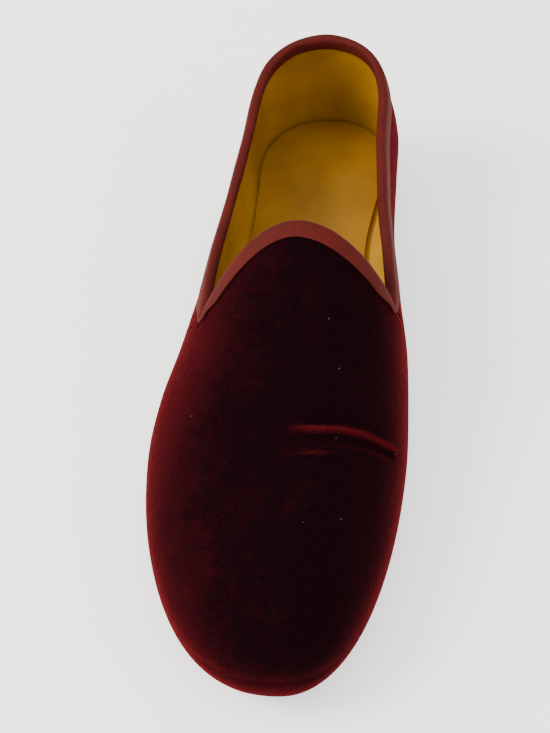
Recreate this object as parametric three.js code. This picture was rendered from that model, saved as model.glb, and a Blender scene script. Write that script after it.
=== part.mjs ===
// Right velvet loafer: a low slip-on with a rounded tongue and a ribbon-bound opening.
// Millimetres, +Z up. The toe points to -Y and the wearer's inner side to +X. The origin is on the
// floor under the middle of the shoe.

import * as THREE from 'three';

// Driving dimensions
const SHOE_LENGTH = 291;
const BALL_WIDTH = 104.5;
const INSTEP_HEIGHT = 83.5;
const HEEL_LIFT = 15;
const TOE_SPRING = 8;
const SOLE_THICKNESS = 4;
const WALL = 2.2;
const GAP = 0.3;

// Plan of the last. at is the share of the length from the toe, the two half-widths are shares of
// the ball width, and ridge and the tucks under the foot are millimetres.
const PLAN = [
  { at: 0.000, lateral: 0.569, medial: 0.431, ridge: 0.0, lateralTuck: 5.0, medialTuck: 5.0 },
  { at: 0.086, lateral: 0.569, medial: 0.431, ridge: 0.5, lateralTuck: 5.2, medialTuck: 4.8 },
  { at: 0.206, lateral: 0.569, medial: 0.431, ridge: 1.0, lateralTuck: 5.0, medialTuck: 4.6 },
  { at: 0.326, lateral: 0.566, medial: 0.431, ridge: 0.5, lateralTuck: 5.0, medialTuck: 5.0 },
  { at: 0.412, lateral: 0.546, medial: 0.425, ridge: -0.5, lateralTuck: 5.6, medialTuck: 6.5 },
  { at: 0.502, lateral: 0.494, medial: 0.410, ridge: -1.0, lateralTuck: 7.0, medialTuck: 9.5 },
  { at: 0.601, lateral: 0.431, medial: 0.368, ridge: -1.5, lateralTuck: 9.0, medialTuck: 14.0 },
  { at: 0.704, lateral: 0.388, medial: 0.332, ridge: -2.0, lateralTuck: 9.0, medialTuck: 14.0 },
  { at: 0.825, lateral: 0.350, medial: 0.321, ridge: -1.0, lateralTuck: 6.5, medialTuck: 8.5 },
  { at: 0.900, lateral: 0.337, medial: 0.325, ridge: 0.0, lateralTuck: 4.5, medialTuck: 5.0 },
  { at: 1.000, lateral: 0.330, medial: 0.325, ridge: 0.0, lateralTuck: 4.0, medialTuck: 4.0 },
];

// Profile of the last. spring and lift are shares of the toe spring and the heel lift, bulge is the
// height of the widest line over the feather line in millimetres, crown is the ridge's height over the
// floor as a share of the instep height, and the fullness numbers are the roundness of each side.
const PROFILE = [
  { at: 0.000, spring: 1.00, lift: 0.00, bulge: 9, crown: 0.479, lateralFull: 2.10, medialFull: 2.10 },
  { at: 0.086, spring: 0.52, lift: 0.00, bulge: 10, crown: 0.533, lateralFull: 2.10, medialFull: 2.10 },
  { at: 0.206, spring: 0.10, lift: 0.00, bulge: 12, crown: 0.599, lateralFull: 2.10, medialFull: 2.10 },
  { at: 0.275, spring: 0.00, lift: 0.00, bulge: 12.6, crown: 0.646, lateralFull: 2.05, medialFull: 2.10 },
  { at: 0.385, spring: 0.00, lift: 0.00, bulge: 13.8, crown: 0.745, lateralFull: 1.90, medialFull: 2.13 },
  { at: 0.502, spring: 0.00, lift: 0.14, bulge: 16, crown: 0.898, lateralFull: 1.74, medialFull: 2.20 },
  { at: 0.601, spring: 0.00, lift: 0.38, bulge: 18, crown: 1.036, lateralFull: 1.78, medialFull: 2.00 },
  { at: 0.704, spring: 0.00, lift: 0.66, bulge: 19, crown: 1.138, lateralFull: 1.68, medialFull: 1.75 },
  { at: 0.825, spring: 0.00, lift: 0.92, bulge: 20, crown: 1.246, lateralFull: 1.60, medialFull: 1.60 },
  { at: 0.900, spring: 0.00, lift: 1.00, bulge: 21, crown: 1.293, lateralFull: 1.60, medialFull: 1.60 },
  { at: 1.000, spring: 0.00, lift: 1.00, bulge: 22, crown: 1.317, lateralFull: 1.60, medialFull: 1.60 },
];

// Height of the collar's edge over the floor, from the notches to the back of the heel
const COLLAR = [
  { at: 0.488, height: 53.0 },
  { at: 0.584, height: 54.0 },
  { at: 0.701, height: 58.0 },
  { at: 0.825, height: 65.5 },
  { at: 0.928, height: 72.5 },
  { at: 1.000, height: 76.0 },
];

// Rounding of the toe and the heel, in plan and over the top
const TOE_REACH = 112;
const LATERAL_TOE_ROUND = 2.2;
const MEDIAL_TOE_ROUND = 2.42;
const TOE_CAP = 38;
const TOE_CAP_ROUND = 2.2;
const HEEL_REACH = 42;
const HEEL_ROUND = 2.3;
const BACK_CAP = 26;
const BACK_CAP_ROUND = 1.7;

// Tongue: where its two notches and its peak lie from the toe, and how pointed its arch is
const LATERAL_NOTCH = 142;
const MEDIAL_NOTCH = 150.5;
const TONGUE_PEAK = 166.5;
const TONGUE_SWEEP = THREE.MathUtils.degToRad(80);
const TONGUE_POINT = 1.45;

// Upper's margin turned in over the sole, and the insole on it
const MARGIN = 7;
const INSOLE_THICKNESS = 2.5;
const INSOLE_INSET = 0.4;
const LEAST_INNER_TUCK = 1.5;

// Sole edge and heel block
const SOLE_MARGIN = 0.9;
const SOLE_BEVEL = 0.8;
const SOLE_BEVEL_HEIGHT = 1.2;
const HEEL_BREAST = 222;
const HEEL_INSET = 0.6;
const HEEL_TAPER = 1.6;
const BREAST_HOLLOW = 4;

// Ribbon folded over the edge of the opening
const RIBBON = 0.8;
const RIBBON_OUTSIDE = 6;
const RIBBON_INSIDE = 5;
const RIBBON_OUTER_GAP = 0.4;
const RIBBON_INNER_GAP = 0.6;
const RIBBON_EDGE_GAP = 0.5;
const RIBBON_TAB = 4;
const RIBBON_PINCH = 0.04;
const TONGUE_RIBBON_SWEEP = THREE.MathUtils.degToRad(77);

// How far the ribbon is wrapped round the edge near its ends: from is the distance from the end, and
// start and cover count its turns, 0 at the outer hem, 1 at the edge and 4 at the inner hem
const TONGUE_RIBBON_END = [
  { from: 0.0, start: 0.0, cover: 0.9 },
  { from: 7.0, start: 0.0, cover: 1.1 },
  { from: 8.5, start: 0.0, cover: 2.0 },
  { from: 10.0, start: 0.0, cover: 3.0 },
  { from: 12.0, start: 0.0, cover: 4.0 },
];
const COLLAR_RIBBON_END = [
  { from: 0.0, start: 0.3, cover: 0.7 },
  { from: 0.7, start: 0.1, cover: 0.9 },
  { from: 2.0, start: 0.0, cover: 1.0 },
  { from: 12.0, start: 0.0, cover: 1.1 },
  { from: 13.5, start: 0.0, cover: 2.0 },
  { from: 15.0, start: 0.0, cover: 3.0 },
  { from: 17.0, start: 0.0, cover: 4.0 },
];

// Mesh density
const HALF_COLUMNS = 48;
const COLUMNS = 2 * HALF_COLUMNS;
const DOME_ROWS = 13;
const DOME_SPREAD = 1.8;
const TUCK_ROWS = 3;
const LATERAL_NOTCH_COLUMN = 18;
const MEDIAL_NOTCH_COLUMN = 22;
const RIBBON_STEP = 4;
const TONGUE_STEPS = 20;
const COLLAR_STEPS = 10;

const HEEL_SIDE_END = 230;
const HEEL_AIM = 252;
const AXIS_OFFSET = BALL_WIDTH * (PLAN[0].lateral - PLAN[0].medial) / 2;

// Share of the way from the widest line to the edge at a share of the rows, closer at both ends
const rowPlace = (share) => (share ** DOME_SPREAD + (1 - Math.cos(Math.PI * share)) / 2) / 2;

// A smooth curve through a table's column that never overshoots it
function fairCurve(table, name, scale = 1) {
  const at = table.map((row) => row.at * SHOE_LENGTH);
  const value = table.map((row) => row[name] * scale);
  const last = at.length - 1;
  const rise = at.slice(1).map((end, i) => (value[i + 1] - value[i]) / (end - at[i]));
  const slope = at.map((_, i) => {
    if (i === 0) {
      return rise[0];
    }
    if (i === last) {
      return rise[last - 1];
    }
    const before = at[i] - at[i - 1];
    const after = at[i + 1] - at[i];
    const a = 2 * after + before;
    const b = after + 2 * before;
    return rise[i - 1] * rise[i] > 0 ? (a + b) / (a / rise[i - 1] + b / rise[i]) : 0;
  });
  return (s) => {
    const x = THREE.MathUtils.clamp(s, at[0], at[last]);
    const i = Math.min(at.findLastIndex((start) => start <= x), last - 1);
    const h = at[i + 1] - at[i];
    const t = (x - at[i]) / h;
    const startWeight = (1 + 2 * t) * (1 - t) ** 2;
    const endWeight = t * t * (3 - 2 * t);
    const bend = t * (1 - t) * h;
    return value[i] * startWeight + value[i + 1] * endWeight + bend * ((1 - t) * slope[i] - t * slope[i + 1]);
  };
}

const SIDES = {
  lateral: {
    sign: -1,
    half: fairCurve(PLAN, 'lateral', BALL_WIDTH),
    tuck: fairCurve(PLAN, 'lateralTuck'),
    fullness: fairCurve(PROFILE, 'lateralFull'),
    toeRound: LATERAL_TOE_ROUND,
    notch: LATERAL_NOTCH,
    notchColumn: LATERAL_NOTCH_COLUMN,
  },
  medial: {
    sign: 1,
    half: fairCurve(PLAN, 'medial', BALL_WIDTH),
    tuck: fairCurve(PLAN, 'medialTuck'),
    fullness: fairCurve(PROFILE, 'medialFull'),
    toeRound: MEDIAL_TOE_ROUND,
    notch: MEDIAL_NOTCH,
    notchColumn: MEDIAL_NOTCH_COLUMN,
  },
};
const ridgeLine = fairCurve(PLAN, 'ridge');
const springShare = fairCurve(PROFILE, 'spring');
const liftShare = fairCurve(PROFILE, 'lift');
const bulgeHeight = fairCurve(PROFILE, 'bulge');
const crownHeight = fairCurve(PROFILE, 'crown', INSTEP_HEIGHT);
const collarHeight = fairCurve(COLLAR, 'height');

// The sole's underside, its top, the feather line that the upper rests on, and the widest line
const soleBottom = (s) => TOE_SPRING * springShare(s) + HEEL_LIFT * liftShare(s);
const soleTop = (s) => soleBottom(s) + SOLE_THICKNESS;
const feather = (s) => soleTop(s) + GAP;
const widest = (s) => feather(s) + bulgeHeight(s);

function toeClosure(s, round) {
  return s >= TOE_REACH ? 1 : Math.max(0, 1 - (1 - s / TOE_REACH) ** 2) ** (1 / round);
}

function heelClosure(s) {
  const past = Math.max(0, (s - SHOE_LENGTH + HEEL_REACH) / HEEL_REACH);
  return Math.max(0, 1 - past ** HEEL_ROUND) ** (1 / HEEL_ROUND);
}

const halfWidth = (side, s) => side.half(s) * toeClosure(s, side.toeRound) * heelClosure(s);

// The last's ridge, rounded down at the toe and at the back
function crown(s) {
  const toe = Math.max(0, 1 - s / TOE_CAP);
  const back = Math.max(0, (s - SHOE_LENGTH + BACK_CAP) / BACK_CAP);
  const toeShare = Math.max(0, 1 - toe ** TOE_CAP_ROUND) ** (1 / TOE_CAP_ROUND);
  const backShare = Math.max(0, 1 - back ** 2) ** (1 / BACK_CAP_ROUND);
  return widest(s) + (crownHeight(s) - widest(s)) * toeShare * backShare;
}

const ridgeAt = (s) => ridgeLine(s) * toeClosure(s, 2);
const sideAt = (x, s) => (x < ridgeAt(s) ? SIDES.lateral : SIDES.medial);

// Height of the last over a point of its plan
function height(x, s) {
  const side = sideAt(x, s);
  const ridge = ridgeAt(s);
  const reach = side.sign * halfWidth(side, s) - ridge;
  const share = reach === 0 ? 1 : THREE.MathUtils.clamp((x - ridge) / reach, 0, 1);
  const fullness = side.fullness(s);
  return widest(s) + (crown(s) - widest(s)) * (1 - share ** fullness) ** (1 / fullness);
}

// The x on one side where the last has a given height
function xAtHeight(side, s, z) {
  const level = THREE.MathUtils.clamp((z - widest(s)) / (crown(s) - widest(s)), 0, 1);
  const fullness = side.fullness(s);
  const share = (1 - level ** fullness) ** (1 / fullness);
  return ridgeAt(s) + share * (side.sign * halfWidth(side, s) - ridgeAt(s));
}

const onLast = (x, s) => new THREE.Vector3(x, s, height(x, s));

// Outward normal of the last at a point of its plan
function lastNormal(x, s) {
  const step = 0.05;
  const alongX = (height(x + step, s) - height(x - step, s)) / (2 * step);
  const alongS = (height(x, s + step) - height(x, s - step)) / (2 * step);
  return new THREE.Vector3(-alongX, -alongS, 1).normalize();
}

// The widest line in plan: column 0 is the toe, then the medial side, the heel and the lateral side
function columnPlace(column) {
  const medial = column <= HALF_COLUMNS;
  const step = medial ? column : COLUMNS - column;
  const s = SHOE_LENGTH * (1 - Math.cos(Math.PI * step / HALF_COLUMNS)) / 2;
  return { side: medial ? SIDES.medial : SIDES.lateral, step, s };
}

function outlinePoint(column) {
  const { side, s } = columnPlace((column + COLUMNS) % COLUMNS);
  return new THREE.Vector2(side.sign * halfWidth(side, s), s);
}

const OUTLINE = Array.from({ length: COLUMNS }, (_, column) => {
  const point = outlinePoint(column);
  const along = outlinePoint(column + 1).sub(outlinePoint(column - 1)).normalize();
  const { side, step, s } = columnPlace(column);
  return { point, inward: new THREE.Vector2(-along.y, along.x), side, step, tuck: side.tuck(s) };
});

const insetPoint = ({ point, inward }, distance) => point.clone().addScaledVector(inward, distance);

// Edge of the tongue, from the lateral notch over the peak to the medial notch
function tonguePoint(angle) {
  const left = xAtHeight(SIDES.lateral, LATERAL_NOTCH, collarHeight(LATERAL_NOTCH));
  const right = xAtHeight(SIDES.medial, MEDIAL_NOTCH, collarHeight(MEDIAL_NOTCH));
  const across = Math.sin(angle) / Math.sin(TONGUE_SWEEP);
  const least = Math.cos(TONGUE_SWEEP) ** TONGUE_POINT;
  const up = (Math.cos(angle) ** TONGUE_POINT - least) / (1 - least);
  const start = THREE.MathUtils.lerp(LATERAL_NOTCH, MEDIAL_NOTCH, (across + 1) / 2);
  return new THREE.Vector2((left + right) / 2 + across * (right - left) / 2, start + (TONGUE_PEAK - start) * up);
}

// Edge of the collar at a distance from the toe, on one side
const collarPoint = (side, s) => new THREE.Vector2(xAtHeight(side, s, collarHeight(s)), s);

// Edge of the collar round the back, on the line from the outline to the middle of the heel
function backCollarPoint(from) {
  const aim = new THREE.Vector2(0, Math.min(from.y, HEEL_AIM));
  let low = 0;
  let high = 1;
  for (let round = 0; round < 40; round += 1) {
    const middle = (low + high) / 2;
    const point = from.clone().lerp(aim, middle);
    if (height(point.x, point.y) < collarHeight(point.y)) {
      low = middle;
    } else {
      high = middle;
    }
  }
  return from.clone().lerp(aim, low);
}

// Top edge of the upper over one column of the outline
function edgePoint({ point, side, step }) {
  if (step < side.notchColumn) {
    return tonguePoint(side.sign * TONGUE_SWEEP * step / side.notchColumn);
  }
  if (point.y >= HEEL_SIDE_END) {
    return backCollarPoint(point);
  }
  const first = SHOE_LENGTH * (1 - Math.cos(Math.PI * side.notchColumn / HALF_COLUMNS)) / 2;
  const left = 1 - (point.y - first) / (HEEL_SIDE_END - first);
  return collarPoint(side, point.y + (side.notch - first) * left ** 1.5);
}

// A closed mesh from loops of equal length. Each loop joins the next, and the mesh either closes
// round on itself or is capped at both ends by strips between each point and its mirror in the loop.
function meshFromLoops(name, loops, { ring, capPairs }, material) {
  const size = loops[0].length;
  const index = [];
  const quad = (a, b, c, d) => {
    if (a !== b && a !== d) {
      index.push(a, b, d);
    }
    if (b !== c && c !== d) {
      index.push(b, c, d);
    }
  };
  const spans = ring ? loops.length : loops.length - 1;
  for (let i = 0; i < spans; i += 1) {
    const here = i * size;
    const next = ((i + 1) % loops.length) * size;
    for (let j = 0; j < size; j += 1) {
      const k = (j + 1) % size;
      quad(here + j, here + k, next + k, next + j);
    }
  }
  if (!ring) {
    const top = (loops.length - 1) * size;
    for (const [a, b, c, d] of capPairs) {
      quad(d, c, b, a);
      quad(top + a, top + b, top + c, top + d);
    }
  }
  const position = new Float32Array(loops.flat().flatMap((point) => point.toArray()));
  const geometry = new THREE.BufferGeometry();
  geometry.setAttribute('position', new THREE.BufferAttribute(position, 3));
  geometry.setIndex(signedVolume(position, index) < 0 ? flipped(index) : index);
  geometry.computeVertexNormals();
  const mesh = new THREE.Mesh(geometry, material);
  mesh.name = name;
  return mesh;
}

function signedVolume(position, index) {
  const corner = (i) => new THREE.Vector3().fromArray(position, 3 * index[i]);
  let volume = 0;
  for (let i = 0; i < index.length; i += 3) {
    volume += corner(i).dot(corner(i + 1).cross(corner(i + 2))) / 6;
  }
  return volume;
}

function flipped(index) {
  return index.map((_, i) => index[i - (i % 3) + [0, 2, 1][i % 3]]);
}

// Cap strips of a loop whose point j faces point last - j
function facingPairs(size) {
  const pairs = [];
  for (let j = 0; j < Math.floor((size - 1) / 2); j += 1) {
    pairs.push([j, j + 1, size - 2 - j, size - 1 - j]);
  }
  return pairs;
}

// Cap strips of a loop round the whole shoe, whose medial column k faces the lateral one
function outlinePairs() {
  return Array.from({ length: HALF_COLUMNS }, (_, k) => [
    k,
    k + 1,
    COLUMNS - k - 1,
    (COLUMNS - k) % COLUMNS,
  ]);
}

const velvet = new THREE.MeshStandardMaterial({ color: '#3d0a10', roughness: 0.85, metalness: 0 });
const ribbonCloth = new THREE.MeshStandardMaterial({ color: '#7a3430', roughness: 0.8, metalness: 0 });
const soleLeather = new THREE.MeshStandardMaterial({ color: '#2a1c14', roughness: 0.55, metalness: 0 });
const heelLeather = new THREE.MeshStandardMaterial({ color: '#1e1511', roughness: 0.5, metalness: 0 });
const sockLeather = new THREE.MeshStandardMaterial({ color: '#a27814', roughness: 0.5, metalness: 0 });

// Upper: one hollow wall from the bound edge, over the last, round the widest line and under the
// foot to the margin that lies on the sole, then back up its inside
function buildUpper() {
  const columns = OUTLINE.map((entry) => {
    const edge = edgePoint(entry);
    const outside = [];
    const inside = [];
    for (let row = DOME_ROWS; row > 0; row -= 1) {
      const plan = entry.point.clone().lerp(edge, rowPlace(row / DOME_ROWS));
      const point = onLast(plan.x, plan.y);
      outside.push(point);
      inside.push(point.clone().addScaledVector(lastNormal(plan.x, plan.y), -WALL));
    }
    const top = widest(entry.point.y);
    const innerTuck = Math.max(entry.tuck, WALL + LEAST_INNER_TUCK);
    for (let row = 0; row <= TUCK_ROWS; row += 1) {
      const turn = (Math.PI / 2) * (row / TUCK_ROWS);
      const outer = insetPoint(entry, entry.tuck * (1 - Math.cos(turn)));
      const inner = insetPoint(entry, WALL + (innerTuck - WALL) * (1 - Math.cos(turn)));
      const outerFloor = feather(insetPoint(entry, entry.tuck).y);
      const innerFloor = feather(insetPoint(entry, innerTuck).y) + WALL;
      const outerZ = THREE.MathUtils.lerp(top, outerFloor, Math.sin(turn));
      const innerZ = THREE.MathUtils.lerp(top, innerFloor, Math.sin(turn));
      outside.push(new THREE.Vector3(outer.x, outer.y, outerZ));
      inside.push(new THREE.Vector3(inner.x, inner.y, innerZ));
    }
    const margin = insetPoint(entry, entry.tuck + MARGIN);
    outside.push(new THREE.Vector3(margin.x, margin.y, feather(margin.y)));
    inside.push(new THREE.Vector3(margin.x, margin.y, feather(margin.y) + WALL));
    return [...outside, ...inside.reverse()];
  });
  return meshFromLoops('upper', columns, { ring: true }, velvet);
}

// A slab between the floor and ceiling heights of each level, with the outline inset at each level
function levelLoop({ inset, z }) {
  return OUTLINE.map((entry) => {
    const point = insetPoint(entry, inset(entry));
    return new THREE.Vector3(point.x, point.y, z(point.y));
  });
}

function buildOutsole() {
  const edge = (entry) => entry.tuck - SOLE_MARGIN;
  const levels = [
    { inset: (entry) => edge(entry) + SOLE_BEVEL, z: soleBottom },
    { inset: edge, z: (s) => soleBottom(s) + SOLE_BEVEL_HEIGHT },
    { inset: edge, z: soleTop },
  ];
  return meshFromLoops('outsole', levels.map(levelLoop), { capPairs: outlinePairs() }, soleLeather);
}

// Insole: a filler inside the upper's margin, and a board over the margin that reaches the lining
function buildInsole() {
  const boardBottom = (s) => feather(s) + WALL + GAP;
  const boardTop = (s) => boardBottom(s) + INSOLE_THICKNESS;
  const filler = (entry) => entry.tuck + MARGIN + INSOLE_INSET;
  const lastTurn = (Math.PI / 2) * (TUCK_ROWS - 1) / TUCK_ROWS;
  const board = (entry) => {
    const lastDrop = (bulgeHeight(entry.point.y) - WALL) * (1 - Math.sin(lastTurn));
    const reach = Math.max(entry.tuck - WALL, LEAST_INNER_TUCK);
    return WALL + reach * (1 - Math.cos(lastTurn) * GAP / lastDrop) + INSOLE_INSET;
  };
  const levels = [
    { inset: filler, z: feather },
    { inset: filler, z: boardBottom },
    { inset: board, z: boardBottom },
    { inset: board, z: boardTop },
  ];
  return meshFromLoops('insole', levels.map(levelLoop), { capPairs: outlinePairs() }, sockLeather);
}

// Heel block: the sole's outline behind a hollowed breast, tapering down to its flat tread
function buildHeel() {
  const ring = OUTLINE.filter(({ point }) => point.y > HEEL_BREAST);
  const loop = (inset, z) => {
    const back = ring.map((entry) => insetPoint(entry, entry.tuck - SOLE_MARGIN + inset));
    const front = [back[back.length - 1], back[0]];
    const breast = [0.25, 0.5, 0.75].map((share) => {
      const point = front[0].clone().lerp(front[1], share);
      point.y = HEEL_BREAST + BREAST_HOLLOW * 4 * share * (1 - share);
      return point;
    });
    front.forEach((point) => { point.y = HEEL_BREAST; });
    return [...back, ...breast].map((point) => new THREE.Vector3(point.x, point.y, z(point.y)));
  };
  const loops = [
    loop(HEEL_INSET, (s) => soleBottom(s) - GAP),
    loop(HEEL_INSET + HEEL_TAPER, () => 0),
  ];
  const size = loops[0].length;
  const middle = (ring.length - 1) / 2;
  const pairs = [];
  for (let j = 0; j < middle; j += 1) {
    pairs.push([j, j + 1, ring.length - 2 - j, ring.length - 1 - j]);
  }
  pairs.push([0, ring.length - 1, size - 3, size - 1], [size - 3, size - 2, size - 1, size - 1]);
  return meshFromLoops('heel', loops, { capPairs: pairs }, heelLeather);
}

// The five turns of a ribbon folded over an edge, for one of its faces: its outer hem, the edge's
// outside, its top, its inside, and the inner hem. along is the direction of the edge in plan.
function foldTurns(plan, along, outerGap, innerGap, rise) {
  const normal = lastNormal(plan.x, plan.y);
  const edge = onLast(plan.x, plan.y);
  const ahead = new THREE.Vector3(along.x, along.y, -(normal.x * along.x + normal.y * along.y) / normal.z);
  const up = new THREE.Vector3().crossVectors(normal, ahead.normalize()).normalize();
  const hem = (length, gap) => {
    const point = edge.clone().addScaledVector(up, -length);
    const there = lastNormal(point.x, point.y);
    const drop = (height(point.x, point.y) - point.z) * there.z;
    return point.addScaledVector(there, drop + gap);
  };
  const overEdge = (gap, lift) => edge.clone().addScaledVector(normal, gap).addScaledVector(up, lift);
  return [
    hem(RIBBON_OUTSIDE, outerGap),
    overEdge(outerGap, RIBBON_EDGE_GAP),
    overEdge(-WALL / 2, rise),
    overEdge(-WALL - innerGap, RIBBON_EDGE_GAP),
    hem(RIBBON_INSIDE, -WALL - innerGap),
  ];
}

// Section of the ribbon between two of its turns, which may be fractions: five points on the face
// against the upper, then five on the outer face
function ribbonSection(plan, along, { start, cover }) {
  const folded = (i) => (i === 0 ? start : Math.min(i, cover - RIBBON_PINCH * (4 - i)));
  const share = cover > 1 ? folded : (i) => start + (cover - start) * i / 4;
  const layer = (turns) => turns.map((_, i) => {
    const place = Math.min(share(i), turns.length - 1);
    const whole = Math.min(Math.floor(place), turns.length - 2);
    return turns[whole].clone().lerp(turns[whole + 1], place - whole);
  });
  const face = (depth) => (
    foldTurns(plan, along, RIBBON_OUTER_GAP + depth, RIBBON_INNER_GAP + depth, RIBBON_EDGE_GAP + depth)
  );
  const near = layer(face(0));
  const far = layer(face(RIBBON));
  return [...near, ...far.reverse()];
}

function coverAt(ends, distance) {
  const next = ends.findIndex(({ from }) => from > distance);
  if (next < 0) {
    return ends[ends.length - 1];
  }
  const [a, b] = [ends[Math.max(0, next - 1)], ends[next]];
  const t = (distance - a.from) / (b.from - a.from);
  return { start: THREE.MathUtils.lerp(a.start, b.start, t), cover: THREE.MathUtils.lerp(a.cover, b.cover, t) };
}

function buildRibbon(name, points, ends) {
  const path = new THREE.CatmullRomCurve3(points.map(({ x, y }) => new THREE.Vector3(x, y, 0)), false, 'centripetal');
  const length = path.getLength();
  const tail = ends[ends.length - 1].from;
  const steps = Math.round((length - 2 * tail) / RIBBON_STEP);
  const between = Array.from({ length: steps - 1 }, (_, i) => tail + (length - 2 * tail) * (i + 1) / steps);
  const near = ends.map(({ from }) => from);
  const stops = [...near, ...between, ...near.map((from) => length - from).reverse()];
  const loops = stops.map((distance) => {
    const point = path.getPointAt(distance / length);
    const along = path.getTangentAt(distance / length);
    const plan = new THREE.Vector2(point.x, point.y);
    return ribbonSection(plan, along, coverAt(ends, Math.min(distance, length - distance)));
  });
  return meshFromLoops(name, loops, { capPairs: facingPairs(10) }, ribbonCloth);
}

// Ribbon round the tongue, from notch to notch. Its ends lie flat beside the collar ribbon's.
function buildTongueRibbon() {
  const steps = 2 * TONGUE_STEPS;
  const points = Array.from({ length: steps + 1 }, (_, i) => (
    tonguePoint(TONGUE_RIBBON_SWEEP * (i / TONGUE_STEPS - 1))
  ));
  return buildRibbon('tongue_ribbon', points, TONGUE_RIBBON_END);
}

// Ribbon round the collar. Each end runs on past its notch as a flat round tab.
function buildCollarRibbon() {
  const sidePoints = (side) => Array.from({ length: COLLAR_STEPS }, (_, i) => {
    const start = side.notch - RIBBON_TAB;
    return collarPoint(side, start + (HEEL_SIDE_END - start) * i / COLLAR_STEPS);
  });
  const back = OUTLINE.filter(({ point }) => point.y > HEEL_SIDE_END).map(edgePoint);
  const points = [...sidePoints(SIDES.medial), ...back, ...sidePoints(SIDES.lateral).reverse()];
  return buildRibbon('collar_ribbon', points, COLLAR_RIBBON_END);
}

const shoe = new THREE.Group();
shoe.position.set(AXIS_OFFSET, -SHOE_LENGTH / 2, 0);
shoe.add(buildUpper(), buildOutsole(), buildInsole(), buildHeel(), buildTongueRibbon(), buildCollarRibbon());

const loafer = new THREE.Group();
loafer.add(shoe);

export default loafer;
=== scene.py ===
"""Right velvet loafer: the looks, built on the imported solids.

Metres. +Y runs from the toe to the heel, +X to the wearer's inner side, +Z up from the floor.
Tables of places on the shoe are in millimetres: x and z as in the frame, s from the toe's tip.
"""
import math

import bpy
import numpy as np
from mathutils import Matrix, Vector, noise
from mathutils.bvhtree import BVHTree


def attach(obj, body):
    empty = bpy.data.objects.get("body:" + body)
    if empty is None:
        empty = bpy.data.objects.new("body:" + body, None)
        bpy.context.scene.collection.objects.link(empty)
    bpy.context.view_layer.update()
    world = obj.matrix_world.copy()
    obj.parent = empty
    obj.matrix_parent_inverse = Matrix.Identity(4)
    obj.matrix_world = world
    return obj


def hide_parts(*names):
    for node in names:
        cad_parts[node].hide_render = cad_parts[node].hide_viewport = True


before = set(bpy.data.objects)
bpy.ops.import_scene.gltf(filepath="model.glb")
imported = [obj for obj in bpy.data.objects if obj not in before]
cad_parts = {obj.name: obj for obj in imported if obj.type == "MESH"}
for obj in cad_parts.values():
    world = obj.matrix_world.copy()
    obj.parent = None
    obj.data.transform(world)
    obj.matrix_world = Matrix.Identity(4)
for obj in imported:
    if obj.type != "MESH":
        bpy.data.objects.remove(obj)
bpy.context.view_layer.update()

MM = 0.001
SHOE_LENGTH = 291 * MM
MERGE = 0.02 * MM


def place(x, s, z):
    """A point of the shoe, from millimetres and the distance from the toe's tip, in the frame."""
    return Vector((x * MM, s * MM - SHOE_LENGTH / 2, z * MM))


# The ribbon's two notches, the tongue's tip, and the seams. The side seams lean forwards as they
# rise to the notches.

LATERAL_NOTCH = place(-43, 142, 46)
MEDIAL_NOTCH = place(47, 150.5, 50)
TONGUE_TIP = place(7, 166.5, 83)
BACK_SEAM_X = 7.2 * MM
BACK_SEAM_FROM_Y = 125 * MM
SEAM_LEAN = 0.12


# Camera: where the photograph was taken from, turned to the middle of the one shoe

EYE = Vector((60.56, -320.5, 457.95)) * MM
AHEAD = Vector((-0.0296, 0.5291, -0.848)).normalized()
RIGHT = Vector((0.9984, 0.0558, 0.0)).normalized()
FOCAL_PIXELS = 1026
FRAME_PIXELS = (550, 733)
SHOE_MIDDLE_PIXEL = (184.5, 290)
ZOOM = 1.27


def photo_camera():
    """The photograph's eye, turned until the shoe's middle is in the middle of the frame."""
    down = AHEAD.cross(RIGHT)
    across = SHOE_MIDDLE_PIXEL[0] - FRAME_PIXELS[0] / 2
    below = SHOE_MIDDLE_PIXEL[1] - FRAME_PIXELS[1] / 2
    aim = (AHEAD * FOCAL_PIXELS + RIGHT * across + down * below).normalized()
    turn = AHEAD.rotation_difference(aim)
    right = turn @ RIGHT
    up = turn @ -down
    data = bpy.data.cameras.new("photo_camera")
    data.sensor_width = 36
    data.lens = FOCAL_PIXELS * ZOOM * data.sensor_width / FRAME_PIXELS[1]
    camera = bpy.data.objects.new("photo_camera", data)
    bpy.context.scene.collection.objects.link(camera)
    camera.matrix_world = Matrix.Translation(EYE) @ Matrix((right, up, -aim)).transposed().to_4x4()
    bpy.context.scene.camera = camera


# Materials

def srgb(colour):
    """An sRGB hex colour as the linear colour that shaders take."""
    parts = [int(colour[i:i + 2], 16) / 255 for i in (1, 3, 5)]
    return (*[p / 12.92 if p <= 0.04045 else ((p + 0.055) / 1.055) ** 2.4 for p in parts], 1.0)


def set_inputs(tree, node, inputs):
    """Gives each input of a node its value, or links another node's output to it."""
    for name, value in inputs.items():
        if isinstance(value, bpy.types.NodeSocket):
            tree.links.new(value, node.inputs[name])
        else:
            node.inputs[name].default_value = value


def add_node(tree, kind, inputs=None, **settings):
    """Adds a node with its settings, its values and its links."""
    node = tree.nodes.new("ShaderNode" + kind)
    for name, value in settings.items():
        setattr(node, name, value)
    set_inputs(tree, node, inputs or {})
    return node


def new_material(name):
    """An empty node material: its tree, its Principled shader and its Object coordinates."""
    material = bpy.data.materials.new(name)
    material.use_nodes = True
    tree = material.node_tree
    tree.nodes.clear()
    shader = add_node(tree, "BsdfPrincipled")
    add_node(tree, "OutputMaterial", {"Surface": shader.outputs["BSDF"]})
    place_on_object = add_node(tree, "TexCoord").outputs["Object"]
    return material, tree, shader, place_on_object


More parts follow.
